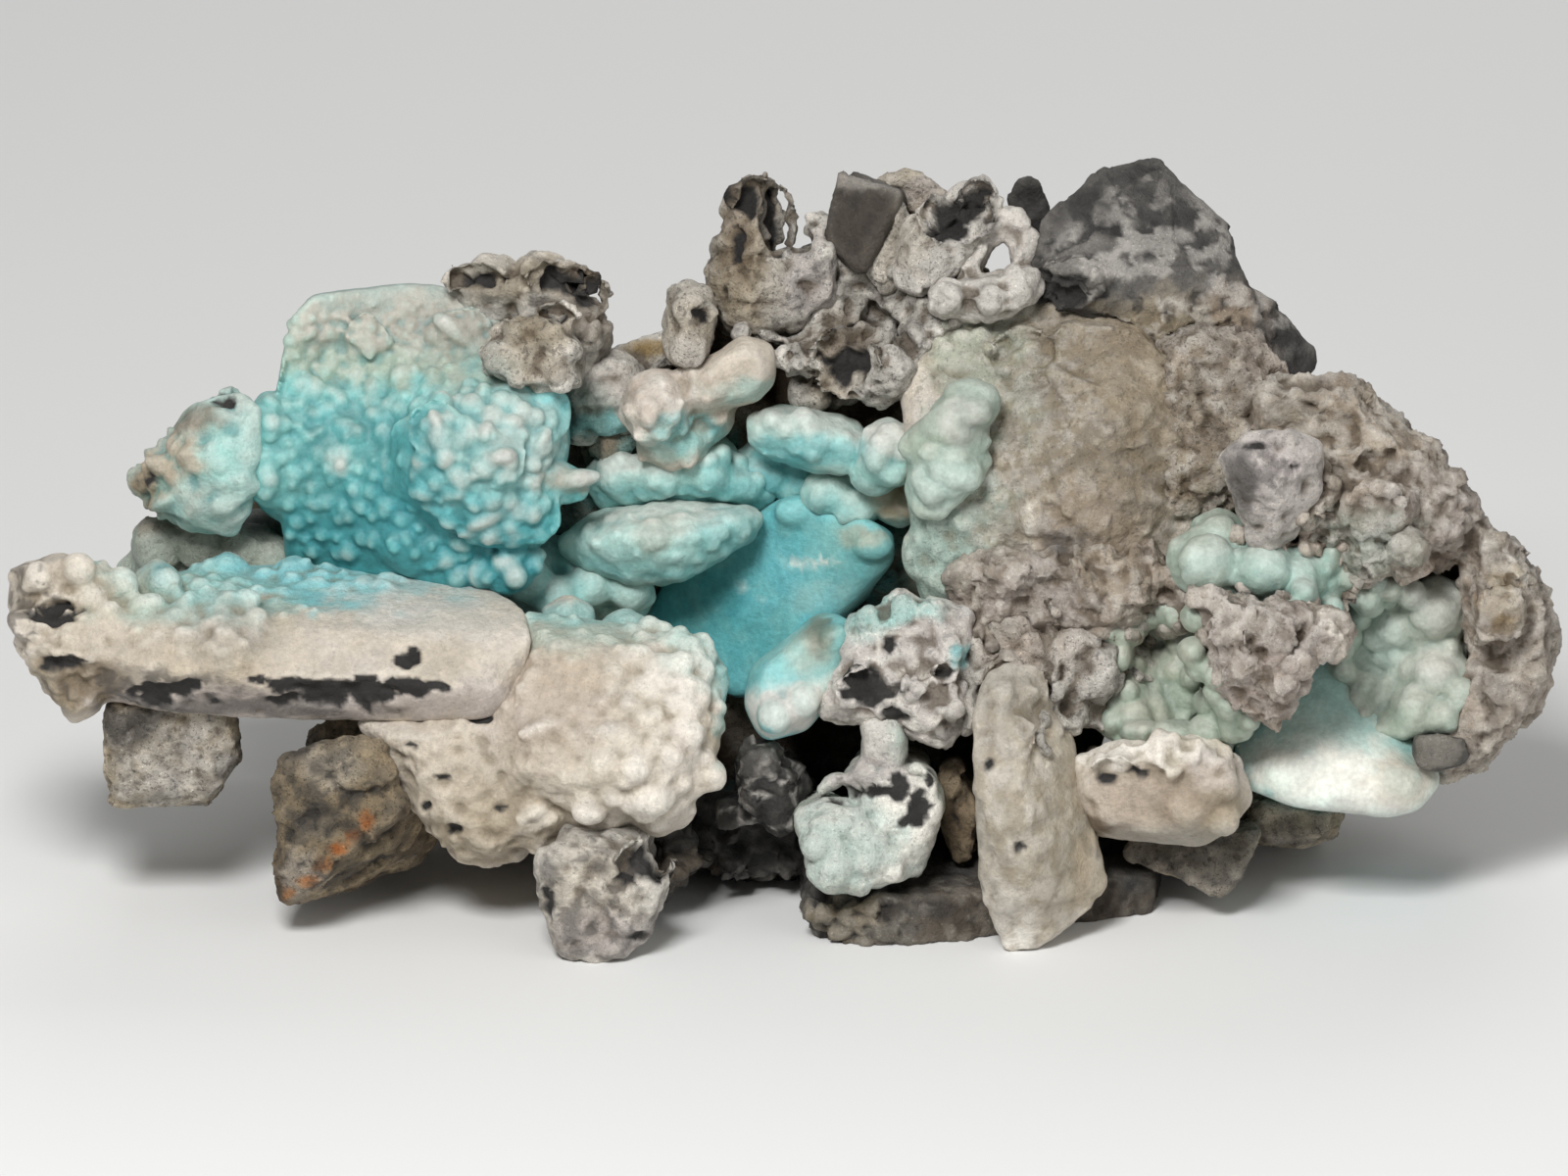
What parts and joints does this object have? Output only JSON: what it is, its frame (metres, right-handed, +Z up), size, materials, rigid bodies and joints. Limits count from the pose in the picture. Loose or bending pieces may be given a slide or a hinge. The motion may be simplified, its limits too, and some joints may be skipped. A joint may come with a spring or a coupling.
{
  "type": "mineral specimen",
  "caption": "Cabinet specimen of richelsdorfite: a cavernous breccia of cemented rock fragments coated with pale blue-green botryoidal crust, standing on a flat underside.",
  "frame": {"origin": "centre of the bounding box at the level of the flat underside", "axes": "+X along the length, to the right as the coated front is seen; +Y from the front to the back; +Z up"},
  "size_m": [0.1966, 0.0906, 0.0923],
  "materials": {
    "turquoise_crust": "smooth to botryoidal pale blue-green crust with a soft waxy sheen, deeper blue in the hollows",
    "cream_crust": "cream sinter-like crust, matt, with rounded lumps and small broken patches",
    "grey_crust": "grey to lilac-grey crust, matt, lumpy and partly crumbly",
    "grey_rock": "grey-brown host rock broken across, rough and matt",
    "tan_rock": "tan crumbly rock and rubble, rough and matt",
    "brown_rock": "brown iron-stained rock, rough and matt",
    "dark_rock": "near-black slaty rock, rough, with a pale dusting of crust"
  },
  "bodies": {
    "root": {"left_ledge": "cream_crust", "hanging_block_left": "tan_rock", "rusty_wedge": "brown_rock", "left_fin": "cream_crust", "grey_back_lumps": "grey_crust", "blue_botryoidal_block": "turquoise_crust", "tan_crown_stone": "tan_rock", "crown_shells": "grey_crust", "cream_block": "cream_crust", "front_foot_wedge": "grey_crust", "dark_rubble": "dark_rock", "dark_knob": "dark_rock", "lumpy_foot_stone": "grey_crust", "base_plate": "dark_rock", "side_sliver": "brown_rock", "long_foot_wedge": "cream_crust", "lower_right_block": "cream_crust", "hanging_tooth": "tan_rock", "turquoise_lip": "turquoise_crust", "grey_bridge_crust": "grey_crust", "rubble_shelf": "grey_crust", "fin_cluster": "tan_rock", "smooth_blue_slab": "turquoise_crust", "lower_lens_ledge": "turquoise_crust", "upper_lens_ledge": "turquoise_crust", "cavity_floor_lumps": "turquoise_crust", "cream_roof_lumps": "cream_crust", "upper_knob": "tan_rock", "left_roof_stone": "grey_crust", "turquoise_bar": "turquoise_crust", "pale_cluster": "turquoise_crust", "spire": "brown_rock", "dark_cube": "dark_rock", "crust_fold": "tan_rock", "hindmost_shard": "tan_rock", "crusted_shard": "tan_rock", "arch_shell": "grey_crust", "dark_blade": "dark_rock", "peak": "dark_rock", "open_vug_stone": "brown_rock", "hanging_crust": "grey_crust", "cone_stone": "grey_crust", "pocket_crust": "turquoise_crust", "cream_pillar": "turquoise_crust", "olive_face": "grey_crust", "sparkling_crust": "tan_rock", "rubble_arc": "grey_crust", "pocket_boulders": "turquoise_crust", "dark_chip": "dark_rock", "pale_pocket_slab": "turquoise_crust", "matrix": "grey_rock", "back_block_left": "tan_rock", "back_block_middle": "dark_rock", "back_block_right": "tan_rock", "back_block_low": "brown_rock"}
  },
  "joints": []
}
